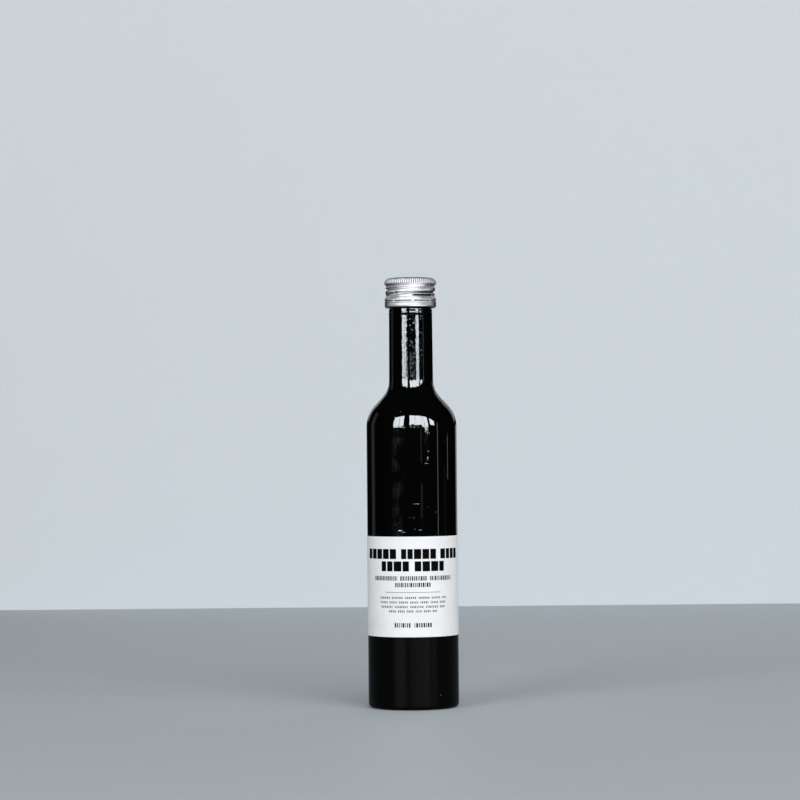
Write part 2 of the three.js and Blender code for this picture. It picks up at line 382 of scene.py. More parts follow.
class Shape(Nodes):
    """A Geometry Nodes tree with named inputs."""

    def __init__(self, name):
        super().__init__(bpy.data.node_groups.new(name, "GeometryNodeTree"))
        self.tree.interface.new_socket("Geometry", in_out="INPUT", socket_type="NodeSocketGeometry")
        self.tree.interface.new_socket("Geometry", in_out="OUTPUT", socket_type="NodeSocketGeometry")
        self.sockets = {}
        self.start = self.tree.nodes.new("NodeGroupInput")
        self.end = self.tree.nodes.new("NodeGroupOutput")

    def input(self, name, kind="Float"):
        made = self.tree.interface.new_socket(name, in_out="INPUT", socket_type="NodeSocket" + kind)
        self.sockets[name.lower().replace(" ", "_")] = (made.identifier, kind)
        return Value(self, self.start.outputs[name])

    def inputs(self, *names):
        return [self.input(name) for name in names]

    def finish(self, geometry):
        """Ends the tree in Realize Instances and Set Material."""
        real = self.node("GeometryNodeRealizeInstances", {"Geometry": geometry})
        sockets = {"Geometry": real.outputs["Geometry"], "Material": self.input("Material", "Material")}
        painted = self.node("GeometryNodeSetMaterial", sockets)
        self.tree.links.new(painted.outputs["Geometry"], self.end.inputs["Geometry"])

    def put_on(self, piece, settings, **values):
        """Adds the tree to a piece as a modifier, and sets each input by its socket's identifier.

        An input takes the value that is given for it, or else the setting of its own name.
        """
        modifier = piece.modifiers.new(self.tree.name, "NODES")
        modifier.node_group = self.tree
        for name, (identifier, kind) in self.sockets.items():
            value = values[name] if name in values else getattr(settings, name)
            modifier[identifier] = float(value) if kind == "Float" else value


# Meshes

def arc(centre, radius, start, end, steps):
    """Points (radius, height) along an arc. Angles are in radians, from straight out."""
    points = []
    for i in range(steps + 1):
        turn = start + (end - start) * i / steps
        points.append((centre[0] + radius * math.cos(turn), centre[1] + radius * math.sin(turn)))
    return points


def smoothstep(share):
    return share * share * (3 - 2 * share)


def waves(stations, steps):
    """Points between (radius, height) stations, on a curve that is upright at each station."""
    points = [stations[0]]
    for (r0, z0), (r1, z1) in zip(stations, stations[1:]):
        for i in range(1, steps + 1):
            share = i / steps
            points.append((r0 + (r1 - r0) * smoothstep(share), z0 + (z1 - z0) * share))
    return points


def supported(profile, reach):
    """The same points, with more near the ends of long straight stretches, to keep their shading even."""
    points = [profile[0]]
    for start, end in zip(profile, profile[1:]):
        span = math.dist(start, end)
        if span > 4 * reach:
            for share in (reach / span, 1 - reach / span):
                points.append(tuple(a + (b - a) * share for a, b in zip(start, end)))
        points.append(end)
    return points


def even_turn(segments):
    return [FULL_TURN * i / segments for i in range(segments)]


def turned(name, profile, turns):
    """A mesh turned about +Z from points (radius, height) that run upwards, so that its faces point out."""
    vertices = []
    rings = []
    for radius, height in profile:
        first = len(vertices)
        if radius == 0:
            vertices.append((0, 0, height))
            rings.append([first] * len(turns))
        else:
            vertices.extend((radius * math.cos(t), radius * math.sin(t), height) for t in turns)
            rings.append(list(range(first, len(vertices))))
    faces = []
    for lower, upper in zip(rings, rings[1:]):
        for i in range(len(turns)):
            corners = (lower[i - 1], lower[i], upper[i], upper[i - 1])
            faces.append(list(dict.fromkeys(corners)))
    mesh = bpy.data.meshes.new(name)
    mesh.from_pydata(vertices, [], faces)
    return mesh


def new_piece(name, mesh):
    piece = bpy.data.objects.new(name, mesh)
    bpy.context.scene.collection.objects.link(piece)
    return piece


def settle(piece, sharp=40):
    """Turns a piece and its modifiers into one plain mesh, smooth but for edges past an angle in degrees."""
    evaluated = piece.evaluated_get(bpy.context.evaluated_depsgraph_get())
    mesh = bpy.data.meshes.new_from_object(evaluated)
    piece.modifiers.clear()
    piece.data = mesh
    mesh.name = piece.name
    mesh.shade_smooth()
    mesh.set_sharp_from_angle(angle=math.radians(sharp))
    if not mesh.polygons:
        raise RuntimeError(f"{piece.name} came out empty")
    return piece


def keep_in_part(piece, slot, *nodes):
    """Makes a finished piece part of the bottle, in place of the named solids."""
    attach(piece, "root")
    if nodes:
        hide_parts(*nodes)


# Materials

# Small rubbed marks on the front of the glass, in millimetres: where each one is to the right of the middle
# and above the foot, half of its length and half of its height.
RUBS = (
    (2.4, 122.4, 2.4, 0.22),
    (-7.2, 106.6, 1.5, 0.4),
    (-5.4, 105.6, 1.6, 0.12),
    (4.6, 106.9, 1.4, 0.08),
    (-0.6, 114.2, 3.2, 0.05),
    (-6.4, 177.2, 0.35, 0.35),
    (9.9, 153.4, 0.35, 0.35),
    (9.4, 149.2, 0.3, 1.3),
    (8.8, 146.2, 1.6, 0.12),
)
# How strongly specks of dust and the faint haze show, beside the rubbed marks.
SPECKS = 0.35
HAZE = 0.028
# The haze is an upright band on the front: where it starts, is full, starts to end and ends, in millimetres.
HAZE_BAND = (-13, -10, -8, -4)


def rubbed_marks(m, x, z):
    """The small rubbed marks, broken up by a fine grain."""
    marks = 0
    for across, up, half_long, half_high in RUBS:
        inside = ((x - across * MM) / (half_long * MM)) ** 2 + ((z - up * MM) / (half_high * MM)) ** 2
        marks = m.largest(marks, 1 - m.smooth(inside, 0.2, 1))
    return marks * m.smooth(m.noise(m.stretched(1, 1, 2), 1500, 3, 0.65), 0.45, 0.6)


def dust_specks(m):
    """A few specks, in patches."""
    specks = 1 - m.smooth(m.cells(m.place, 210), 0.03, 0.05)
    return specks * m.smooth(m.noise(m.place, 60, 1), 0.56, 0.64) * SPECKS


def faint_haze(m, x, z, top):
    """A band of fine haze between the label and the shoulder."""
    band = m.between(x, *(edge * MM for edge in HAZE_BAND)) * (z > LABEL_BOX[1].z) * (z < top)
    fine = m.smooth(m.noise(m.stretched(1, 1, 1.6), 1300, 3, 0.7), 0.48, 0.66)
    patches = m.smooth(m.noise(m.place, 110, 2), 0.42, 0.6)
    return band * fine * patches * HAZE


def glass_relief(m, z, shoulder):
    """The height of the glass's waves, and of the pebbled grain that only the shoulder and the neck have."""
    grainy = m.smooth(z, shoulder - 8 * MM, shoulder + 24 * MM)
    streaks = m.noise(m.stretched(1, 1, 0.16), 95, 3)
    swell = m.noise(m.stretched(1, 1, 0.5), 40, 1)
    pebbles = m.noise(m.stretched(0.8, 0.8, 1), 640, 1)
    pits = 1 - m.smooth(m.cells(m.stretched(1, 1, 0.8), 900), 0.08, 0.4)
    pits = pits * m.smooth(m.noise(m.place, 500, 2), 0.42, 0.6)
    return streaks * 0.3 + swell * 0.6 + (pebbles - pits * 0.3) * grainy


def dark_glass(s):
    """Near-black glass: slightly wavy, with a few specks of dust, smears and rubbed marks."""
    m = Shading("dark glass", roughness=0.025, ior=s.ior)
    x, y, z = m.axes(m.place)
    front = y < 0
    haze = faint_haze(m, x, z, s.shoulder_start - 6 * MM)
    marks = m.largest(dust_specks(m), rubbed_marks(m, x, z) * front, haze * front)
    smears = m.smooth(m.noise(m.stretched(1, 1, 0.6), 30, 4, 0.65), 0.55, 0.8)
    m.feed("Base Color", m.blend(marks, s.tint, s.dust))
    m.feed("Roughness", 0.02 + smears * 0.05 + marks * 0.25)
    m.bump(glass_relief(m, z, s.shoulder_start), 0.05 * MM)
    return m.material


def brushed_aluminium(s):
    """Satin aluminium with fine lines round it from the rollers, with the painted shade and highlight that
    the cap's tree marks on it.
    """
    m = Shading("rolled aluminium", metallic=1)
    # The cap's tree stores painted shade in its creases, dimple, thread flank, rim line and knurl bottoms,
    # and a painted highlight on the knurls' tops, in the crease attribute that this reads.
    painted_shade_and_highlight = Value(m, m.node("ShaderNodeAttribute", attribute_name="crease").outputs["Fac"])
    lines = m.noise(m.stretched(0.35, 0.35, 9), 420, 3, 0.6)
    patches = m.noise(m.place, 140, 3)
    scratches = m.smooth(m.noise(m.stretched(1, 1, 0.25), 900, 2), 0.62, 0.7)
    shade = s.plain_share + patches * 0.05 - scratches * 0.03
    # Painted shade darkens the base colour towards the dark setting, a painted highlight brightens it
    # towards the metal colour, and scratches darken it a little.
    m.feed("Base Color", m.blend(m.largest(shade - painted_shade_and_highlight, 0), s.shade_and_wear, s.metal))
    m.feed("Roughness", 0.2 + lines * 0.09 + patches * 0.06)
    m.bump(lines + patches * 0.6, 0.012 * MM)
    return m.material


def label_paper(s):
    """Smooth white label paper with short fibres."""
    m = Shading("label paper", roughness=0.62, specular_ior_level=0.35)
    fibres = m.noise(m.stretched(1, 1, 2.5), 2600, 3, 0.6)
    cloud = m.noise(m.place, 90, 3)
    darker = tuple(0.93 * c for c in s.paper)
    m.feed("Base Color", m.blend(m.smooth(cloud * 0.7 + fibres * 0.3, 0.25, 0.6), darker, s.paper))
    m.feed("Roughness", 0.56 + fibres * 0.12)
    m.bump(fibres + cloud * 2, 0.006 * MM)
    return m.material


def printing_ink(name, tint):
    """Ink that lets a little of the paper's grain through."""
    m = Shading(name, specular_ior_level=0.04)
    grain = m.noise(m.place, 3200, 2)
    lighter = tuple(min(1, 1.5 * c + 0.002) for c in tint)
    m.feed("Base Color", m.blend(m.smooth(grain, 0.5, 0.8), tint, lighter))
    m.feed("Roughness", 0.45 + grain * 0.15)
    return m.material


# Glass

def glass_profile(s):
    """The outside of the glass, from the middle of its underside up to its mouth."""
    foot = s.knurl_height
    rim = s.body_radius - s.heel_radius - s.foot_width
    punt = s.punt_height - foot
    dome = (rim**2 + punt**2) / (2 * punt)
    underside = arc((0, s.punt_height - dome), dome, math.pi / 2, math.acos(rim / dome), steps=16)
    underside[0] = (0, s.punt_height)
    heel_centre = (s.body_radius - s.heel_radius, foot + s.heel_radius)
    heel = arc(heel_centre, s.heel_radius, -math.pi / 2, 0, steps=14)
    shoulder_centre = (s.body_radius - s.shoulder_radius, s.shoulder_start)
    shoulder = arc(shoulder_centre, s.shoulder_radius, 0, s.slope, steps=26)
    fillet_foot = s.neck_foot_radius + s.fillet_radius * (1 - math.cos(s.slope))
    slope_length = (shoulder[-1][0] - fillet_foot) / math.sin(s.slope)
    neck_start = shoulder[-1][1] + slope_length * math.cos(s.slope) + s.fillet_radius * math.sin(s.slope)
    fillet_centre = (s.neck_foot_radius + s.fillet_radius, neck_start)
    fillet = arc(fillet_centre, s.fillet_radius, math.pi + s.slope, math.pi, steps=26)
    seam = waves(
        [
            (s.neck_top_radius, s.seam_height - s.seam_lower),
            (s.neck_top_radius + s.seam_relief, s.seam_height),
            (s.neck_top_radius, s.seam_height + s.seam_upper),
        ],
        steps=6,
    )
    finish = [
        (s.neck_top_radius, CAP_BOX[0].z - s.collar_height),
        (s.neck_top_radius - s.collar_depth, CAP_BOX[0].z),
        (s.bead_radius, CAP_BOX[0].z + s.bead_foot),
        (s.mouth_radius - s.collar_depth, CAP_BOX[0].z + s.bead_top),
        (s.mouth_radius, CAP_BOX[0].z + s.bead_top + s.collar_height),
        (s.mouth_radius, GLASS_BOX[1].z),
        (0, GLASS_BOX[1].z),
    ]
    return [*underside, *heel, *shoulder, *fillet, *seam, *finish]


def seamed_turn(s, segments):
    """Angles round the bottle, with extra ones across each upright mould seam."""
    half = s.side_seam_width / s.body_radius
    seams = (0, math.pi)
    fine = [half * share for share in (-2, -1, -0.6, -0.3, 0, 0.3, 0.6, 1, 2)]
    across = [seam + step for seam in seams for step in fine]
    clear = [
        turn
        for turn in even_turn(segments)
        if all(abs(math.remainder(turn - seam, FULL_TURN)) > 3 * half for seam in seams)
    ]
    return sorted(across + clear)


def raise_side_seams(mesh, s):
    """Lifts the fine upright ridge that each mould joint leaves."""
    half = s.side_seam_width / s.body_radius
    for vertex in mesh.vertices:
        x, y, z = vertex.co
        radius = math.hypot(x, y)
        if radius < s.neck_top_radius - MM or z < s.heel_radius:
            continue
        off = abs(math.remainder(math.atan2(y, abs(x)), FULL_TURN)) / half
        if off < 1:
            scale = 1 + s.side_seam_relief * (1 - smoothstep(off)) / radius
            vertex.co.x = x * scale
            vertex.co.y = y * scale


def foot_knurls():
    """The tree that sets small bars round the foot."""
    g = Shape("foot knurls")
    bar_count = g.input("Knurl count", "Int")
    ring, long, wide, high = g.inputs("Ring", "Knurl length", "Knurl width", "Knurl height")
    circle = g.node("GeometryNodeMeshCircle", {"Vertices": bar_count, "Radius": ring})
    bar = g.node("GeometryNodeMeshUVSphere", {"Segments": 10, "Rings": 6, "Radius": 0.5})
    x, y, _ = g.axes(g.node("GeometryNodeInputPosition").outputs["Position"])
    bars = g.node(
        "GeometryNodeInstanceOnPoints",
        {
            "Points": circle.outputs["Mesh"],
            "Instance": bar.outputs["Mesh"],
            "Rotation": g.vector(0, 0, g.math("ARCTAN2", y, x)),
            "Scale": g.vector(long, wide, high * 2),
        },
    )
    sockets = {"Geometry": bars.outputs["Instances"], "Translation": g.vector(0, 0, high)}
    g.finish(g.node("GeometryNodeTransform", sockets).outputs["Geometry"])
    return g


class VINEGAR_OT_glass(bpy.types.Operator):
    """Make the glass bottle and the fine knurling round its foot"""

    bl_idname = "vinegar.glass"
    bl_label = "Glass"

    def execute(self, context):
        s = context.scene.vinegar_bottle.glass
        glass = dark_glass(s)
        profile = supported(glass_profile(s), s.seam_upper / 2)
        mesh = turned("bottle_glass", profile, seamed_turn(s, segments=240))
        raise_side_seams(mesh, s)
        mesh.materials.append(glass)
        keep_in_part(settle(new_piece("bottle_glass", mesh)), "dark_glass", "glass_bottle")
        bars = new_piece("foot_knurling", bpy.data.meshes.new("foot_knurling"))
        ring = s.body_radius - s.heel_radius - s.foot_width / 2
        foot_knurls().put_on(bars, s, ring=ring, material=glass)
        keep_in_part(settle(bars, sharp=180), "dark_glass")
        return {"FINISHED"}


# Cap

def cap_skin(s):
    """The outside of the cap before it is knurled and threaded, from its curled lower edge to its top."""
    top = CAP_BOX[1].z
    centre = (s.crown_radius - s.crown_corner, top - s.crown_corner)
    crown = arc(centre, s.crown_corner, 0, math.pi / 2, steps=16)
    heel_centre = (s.crown_radius - s.crown_heel, centre[1])
    heel = arc(heel_centre, s.crown_heel, -s.crown_turn, 0, steps=10)
    curl_centre = (s.band_radius - s.band_curl, CAP_BOX[0].z + s.band_curl)
    curl = arc(curl_centre, s.band_curl, -0.65 * math.pi, 0, steps=9)
    slit = s.slit_half_height
    band = waves(
        [
            curl[-1],
            (s.band_radius - s.band_dent, top - s.band_dent_drop),
            (s.band_radius, top - s.slit_drop - 2 * slit),
        ],
        steps=6,
    )
    edges = [(s.band_radius, top - s.slit_drop - slit), (s.band_radius, top - s.slit_drop + slit)]
    skirt = waves(
        [
            (s.band_radius, top - s.band_drop),
            (s.waist_radius, top - s.waist_drop),
            (s.skirt_radius, top - s.skirt_end),
            (s.skirt_radius, top - s.skirt_start),
            (s.neck_radius, top - s.neck_drop),
            heel[0],
        ],
        steps=12,
    )
    panel = [(centre[0] * share, top) for share in (0.75, 0.4, 0)]
    return [*curl, *band[1:], *edges, *skirt, *heel[1:], *crown[1:], *panel]


# Each knurl is narrow at its bottom: the power that its wave is raised to.
KNURL_SHARPNESS = 2.5
# Half of the drop over which the knurls fade at each end, and the angle over which the crease fades.
KNURL_FADE = 0.25 * MM
CREASE_FADE = math.radians(9)
# Where the dimple's flat floor ends, as a share of its radius.
DIMPLE_FLOOR = 0.3

# Painted shade and highlight on the cap's relief. The thread's upper flank is painted dark at the cap's
# front right: how deep in the groove the painted shade starts and is full and how far past its middle it
# goes, as shares, and where it is round the cap.
FLANK_DEPTHS = (0.4, 0.75)
FLANK_REACH = 0.15
FLANK_TURNS = tuple(map(math.radians, (-95, -55, 0, 30)))
# A thin line of painted shade follows the crown's upper edge, between these drops.
RIM_DROPS = tuple(drop * MM for drop in (0.02, 0.06, 0.25, 0.65))
# How dark the painted shade makes the rim's line, the dimple and the bottoms of the knurls, and how much
# brighter a painted highlight makes the knurls' tops.
RIM_SHADE = 0.42
DIMPLE_SHADE = 1.5
KNURL_SHADE = 0.5
KNURL_HIGHLIGHT = 0.2


def rounded_cut(g, distance, half_width):
    """1 in the middle of a rounded groove and 0 past its edges."""
    across = g.math("MINIMUM", abs(distance) / half_width, 1)
    return g.math("COSINE", across * math.pi / 2) ** 2


def knurls(g, turn, drop):
    """Where the knurls are, the share of their depth and their cut."""
    around, depth, first, last = g.inputs("Knurl count", "Knurl depth", "Knurl first", "Knurl last")
    edges = (first - KNURL_FADE, first + KNURL_FADE, last - KNURL_FADE, last + KNURL_FADE)
    knurled = g.between(drop, *edges)
    share = knurled * ((1 - g.math("COSINE", turn * around)) * 0.5) ** KNURL_SHARPNESS
    return knurled, share, depth * share


def rolled_thread(g, turn, drop):
    """The painted shade on the thread's groove and its cut. The groove goes down by its pitch in each turn.
    """
    pitch, start, first, last = g.inputs("Thread pitch", "Thread drop", "Thread first", "Thread last")
    fade, end, depth = g.inputs("Thread fade", "Thread end", "Thread depth")
    half_width, upper_share = g.inputs("Thread half width", "Upper share")
    turns = turn / FULL_TURN
    nearest = g.math("ROUND", (drop - start) / pitch + turns)
    groove = start + (nearest - turns) * pitch
    off = drop - groove
    width = half_width * (upper_share + (2 - 2 * upper_share) * (off > 0))
    cut = rounded_cut(g, off, width)
    reach = g.between(groove, first - fade, first, last, last + end)
    flank = g.smooth(cut, *FLANK_DEPTHS) * (off < half_width * FLANK_REACH)
    lower_turn = groove > start - pitch * 0.5
    return flank * reach * lower_turn * g.between(turn, *FLANK_TURNS), depth * cut * reach


def short_crease(g, turn, drop):
    """The share of the depth, which also sets the crease's painted shade, and the cut of the crease where
    the thread runs out.
    """
    middle, start, end = g.inputs("Crease drop", "Crease start", "Crease end")
    depth, half_width = g.inputs("Crease depth", "Crease half width")
    reach = g.between(turn, start, start + CREASE_FADE, end - CREASE_FADE, end)
    share = rounded_cut(g, drop - middle, half_width) * reach
    return share, depth * share


def small_dimple(g, turn, drop, radius):
    """The share of the depth, which also sets the dimple's painted shade, and the cut of the dimple in the
    skirt.
    """
    middle, place, size = g.inputs("Dimple drop", "Dimple turn", "Dimple radius")
    away = g.math("SQRT", (drop - middle) ** 2 + ((turn - place) * radius) ** 2) / size
    share = 1 - g.smooth(away, DIMPLE_FLOOR, 1)
    return share, size * share


def in_slit(g, turn, drop):
    """1 on the broken line above the band, and 0 on its bridges."""
    middle, half_height, bridges = g.inputs("Slit drop", "Slit half height", "Bridge count")
    half_angle, first = g.inputs("Bridge half angle", "First bridge")
    spacing = FULL_TURN / bridges
    offset = turn - first
    from_bridge = abs(offset - spacing * g.math("ROUND", offset / spacing))
    return (abs(drop - middle) < half_height) * (from_bridge > half_angle)


def cap_pressings():
    """The tree that rolls the knurls and the thread into the cap's skin, paints shade and highlight on it
    and cuts its slits.
    """
    g = Shape("cap pressings")
    x, y, z = g.axes(g.node("GeometryNodeInputPosition").outputs["Position"])
    turn = g.math("ARCTAN2", y, x)
    radius = g.math("SQRT", x * x + y * y)
    drop = g.input("Top") - z
    knurled, knurl, knurl_cut = knurls(g, turn, drop)
    flank, thread_cut = rolled_thread(g, turn, drop)
    crease, crease_cut = short_crease(g, turn, drop)
    dimple, dimple_cut = small_dimple(g, turn, drop, radius)
    scale = 1 - (knurl_cut + thread_cut + crease_cut + dimple_cut) / g.largest(radius, MM)
    sockets = {"Geometry": g.start.outputs["Geometry"], "Position": g.vector(x * scale, y * scale, z)}
    rolled = g.node("GeometryNodeSetPosition", sockets)
    # Painted shade in the crease, the dimple, the thread's flank, the rim's line and the knurls' bottoms,
    # less a painted highlight on the knurls' tops, stored as the crease attribute.
    painted_light = g.largest(crease, dimple * DIMPLE_SHADE, flank) + g.between(drop, *RIM_DROPS) * RIM_SHADE
    painted_light = g.largest(painted_light, knurl * KNURL_SHADE) - knurled * (1 - knurl) * KNURL_HIGHLIGHT
    sockets = {"Geometry": rolled.outputs["Geometry"], "Name": "crease", "Value": painted_light}
    with_painted_light = g.node("GeometryNodeStoreNamedAttribute", sockets, data_type="FLOAT", domain="POINT")
    sockets = {"Geometry": with_painted_light.outputs["Geometry"], "Selection": in_slit(g, turn, drop)}
    g.finish(g.node("GeometryNodeDeleteGeometry", sockets, domain="FACE").outputs["Geometry"])
    return g


class VINEGAR_OT_cap(bpy.types.Operator):
    """Make the rolled aluminium screw cap"""

    bl_idname = "vinegar.cap"
    bl_label = "Screw Cap"

    def execute(self, context):
        s = context.scene.vinegar_bottle.cap
        metal = brushed_aluminium(s)
        columns_of_knurl = 6
        mesh = turned("aluminium_cap", cap_skin(s), even_turn(columns_of_knurl * s.knurl_count))
        mesh.materials.append(metal)
        cap = new_piece("aluminium_cap", mesh)
        cap_pressings().put_on(cap, s, top=CAP_BOX[1].z, material=metal)
        wall = cap.modifiers.new("wall", "SOLIDIFY")
        wall.thickness = s.wall
        keep_in_part(settle(cap, sharp=50), "aluminium", "screw_cap")
        return {"FINISHED"}


# Label

def wrapped_sheet(name, inner, outer, bottom, top, gap, columns=220):
    """A closed sheet bent round the bottle, with its two ends either side of a gap at the back."""
    half_gap = gap / 2 / inner
    first = math.pi / 2 + half_gap
    last = math.pi / 2 + FULL_TURN - half_gap
    turns = [first + (last - first) * i / columns for i in range(columns + 1)]
    vertices = []
    for t in turns:
        for radius, height in ((inner, bottom), (outer, bottom), (outer, top), (inner, top)):
            vertices.append((radius * math.cos(t), radius * math.sin(t), height))
    faces = [(3, 2, 1, 0)]
    for i in range(columns):
        here, there = 4 * i, 4 * (i + 1)
        for j in range(4):
            k = (j + 1) % 4
            faces.append((here + j, here + k, there + k, there + j))
    faces.append(tuple(len(vertices) - 4 + j for j in range(4)))
    mesh = bpy.data.meshes.new(name)
    mesh.from_pydata(vertices, [], faces)
    return mesh


class VINEGAR_OT_label(bpy.types.Operator):
    """Make the paper label"""

    bl_idname = "vinegar.label"
    bl_label = "Paper Label"

    def execute(self, context):
        s = context.scene.vinegar_bottle.label
        mesh = wrapped_sheet("label_sheet", s.inner_radius, s.outer_radius, s.bottom, s.top, s.gap)
        mesh.materials.append(label_paper(s))
        keep_in_part(settle(new_piece("label_sheet", mesh)), "label_paper", "paper_label")
        return {"FINISHED"}


# Print

# Each row of print: how far its middle is below the label's top, its height and its length along the paper,
# in millimetres. Then its number of blocks, how many make a word, the gap after a word and after a block as
# shares of a block, the narrowest block as a share of the widest, and the seed of its widths.
Row = namedtuple("Row", "below high long blocks word word_gap block_gap narrowest seed")
BOLD_ROWS = (
    (10.3, 5.9, 67, 14, 5, 0.55, 0.16, 0.62, 3),
    (17.6, 5.9, 40.5, 8, 4, 0.55, 0.16, 0.62, 8),
    (24.7, 2.6, 52, 42, 14, 1.5, 0.5, 0.3, 5),
    (28.6, 2.6, 21.5, 18, 18, 1.5, 0.5, 0.3, 6),
    (52.4, 2.6, 22.5, 16, 8, 1.6, 0.5, 0.3, 7),
)
FINE_ROWS = (
    (33.0, 0.32, 35, 1, 1, 0, 0, 1, 1),
    (36.2, 1.25, 43, 33, 6, 1.1, 0.45, 0.5, 11),
    (38.9, 1.25, 42, 34, 5, 1.1, 0.45, 0.5, 12),
    (41.6, 1.25, 41, 31, 7, 1.1, 0.45, 0.5, 13),
    (44.2, 1.25, 30, 23, 4, 1.1, 0.45, 0.5, 14),
)
# A bent block has a column of points at least this often, in millimetres.
COLUMN = 0.8


def print_row():
    """The tree that sets one row of blocks round the label."""
    g = Shape("print row")
    blocks, seed, columns = (g.input(name, "Int") for name in ("Blocks", "Seed", "Columns"))
    radius, middle, high, long, thick = g.inputs("Radius", "Middle", "Height", "Length", "Thickness")
    word, word_gap, block_gap, narrowest = g.inputs("Word", "Word gap", "Block gap", "Narrowest")
    index = Value(g, g.node("GeometryNodeInputIndex").outputs["Index"])
    # Sockets 2 and 3 are the least and the greatest width.
    sockets = {2: narrowest, 3: 1.0, "ID": index, "Seed": seed}
    width = Value(g, g.node("FunctionNodeRandomValue", sockets, data_type="FLOAT").outputs[1])
    ends_word = ((index + 1) % word) < 0.5
    advance = width + block_gap + ends_word * word_gap
    run = g.node("GeometryNodeAccumulateField", {0: advance}, data_type="FLOAT")
    last_ends_word = (blocks % word) < 0.5
    whole = Value(g, run.outputs["Total"]) - block_gap - last_ends_word * word_gap
    size = long / whole
    place = (Value(g, run.outputs["Trailing"]) + width * 0.5 - whole * 0.5) * size
    points = g.node("GeometryNodePoints", {"Count": blocks})
    sockets = {"Geometry": points.outputs["Points"], "Position": g.vector(place, 0, 0)}
    placed = g.node("GeometryNodeSetPosition", sockets)
    block = g.node("GeometryNodeMeshCube", {"Size": (1, 1, 1), "Vertices X": columns})
    row = g.node(
        "GeometryNodeInstanceOnPoints",
        {
            "Points": placed.outputs["Geometry"],
            "Instance": block.outputs["Mesh"],
            "Scale": g.vector(width * size, thick, high),
        },
    )
    flat = g.node("GeometryNodeRealizeInstances", {"Geometry": row.outputs["Instances"]})
    x, y, z = g.axes(g.node("GeometryNodeInputPosition").outputs["Position"])
    turn = x / radius
    reach = radius + thick * 0.5 - y
    bent = g.vector(reach * g.math("SINE", turn), reach * g.math("COSINE", turn) * -1, middle + z)
    sockets = {"Geometry": flat.outputs["Geometry"], "Position": bent}
    g.finish(g.node("GeometryNodeSetPosition", sockets).outputs["Geometry"])
    return g


def printed(name, rows, s, ink):
    """All the rows of one ink, as one piece."""
    tree = print_row()
    pieces = []
    for row in map(Row._make, rows):
        piece = new_piece(name, bpy.data.meshes.new(name))
        tree.put_on(
            piece,
            row,
            columns=max(6, round(row.long / row.blocks / COLUMN)),
            radius=s.outer_radius,
            middle=s.top - row.below * MM,
            height=row.high * MM,
            length=row.long * MM,
            thickness=s.ink_thickness,
            material=ink,
        )
        pieces.append(settle(piece, sharp=30))
    whole = pieces[0]
    with bpy.context.temp_override(active_object=whole, selected_editable_objects=pieces):
        bpy.ops.object.join()
    return whole


class VINEGAR_OT_print(bpy.types.Operator):
    """Set the plain blocks, rule and dashes that stand for the label's print"""

    bl_idname = "vinegar.print"
    bl_label = "Label Print"

    def execute(self, context):
        s = context.scene.vinegar_bottle.label
        bold = printed("print_bold", BOLD_ROWS, s, printing_ink("black ink", s.black_ink))
        keep_in_part(bold, "black_ink")
        fine = printed("print_fine", FINE_ROWS, s, printing_ink("grey ink", s.grey_ink))
        keep_in_part(fine, "grey_ink")
        return {"FINISHED"}


# Stage

# How high most panes reach, in metres.
HEAD = 2.94
# The panes of the tall windows behind the camera, in metres: left and right edges along X, sill and head.
# The lower part of the middle ones is dark, apart from a few gaps.
PANES = (
    (-3.42, -2.95, 0.225, HEAD),
    (-2.9, -2.1, 0.22, HEAD),
    (-1.99, -1.52, 0.225, HEAD),
    (-1.52, -1.2, 0.45, HEAD),
    (-1.52, -1.0, 0.225, 0.28),
    (-0.3, 0.0, 0.56, HEAD),
    (-0.2, 0.0, 0.24, 0.28),
    (0.0, 0.28, 0.8, HEAD),
    (0.28, 0.52, 0.66, HEAD),
    (0.28, 0.5, 0.23, 0.28),
    (0.56, 0.79, 0.54, HEAD),
    (0.79, 1.1, 0.6, HEAD),
    (0.85, 1.1, 0.25, 0.28),
    (1.1, 1.62, 0.65, HEAD),
    (1.66, 2.1, 0.24, HEAD),
    (2.15, 2.95, 0.2, HEAD),
    (3.72, 4.7, 0.8, 2.6),
    (4.7, 5.6, 0.75, 2.35),
)
# The lower strip of the panes is duller: its lower and upper edge, and its share of the light.
DULL_STRIP = (0.28, 0.45, 0.72)

# Panels of light that only the glass mirrors: direction from the camera's side, width, lower and upper edge
# in degrees, and radiance. The slots stand in front of the bottle and at its sides.
SLOTS = (
    (-117, 15, -6, 28, 0.5),
    (23.8, 1.8, -0.3, 1.5, 2.2),
    (24.5, 5, -2, -0.95, 1.1),
    (69.5, 2, -3, 12, 7),
    (104, 2, -0.8, 0.55, 4.2),
    (93, 1.2, -4, -0.4, 1),
)
# The rims stand behind the bottle, and light the edges of its body and its shoulder.
RIMS = (
    (161, 22, -2.7, 2.1, 0.65),
    (159, 32, 6.2, 30, 0.85),
    (-162, 24, 6.2, 25, 0.85),
    (-170, 8, -2.7, 2.1, 0.5),
)
# Soft light on the paper from both sides, in the same terms but for the radiance.
FILLS = (
    (-90, 40, 0, 40),
    (90, 40, 0, 40),
)

# What the cap mirrors. The ring's panels stand a step of this many degrees apart. Each row gives their
# places in steps, their lower and upper edge in degrees, and their share of the metal light.
RING_STEP = 20
RING = (
    (range(-2, 2), -8, 16, 1.22),
    ((-3, 2), -8, 16, 0.88),
    ((-4, 3, 4), -8, 8, 0.88),
    ((-5, 5), -8, 8, 0.5),
    ((-6, 6), -8, 16, 0.15),
    (range(-3, 3), 16, 58, 0.95),
    ((-5, -4, 3, 4, 5), 8, 50, 0.28),
    ((-6, 6), 16, 50, 0.2),
    (range(7, 12), 16, 50, 0.3),
)
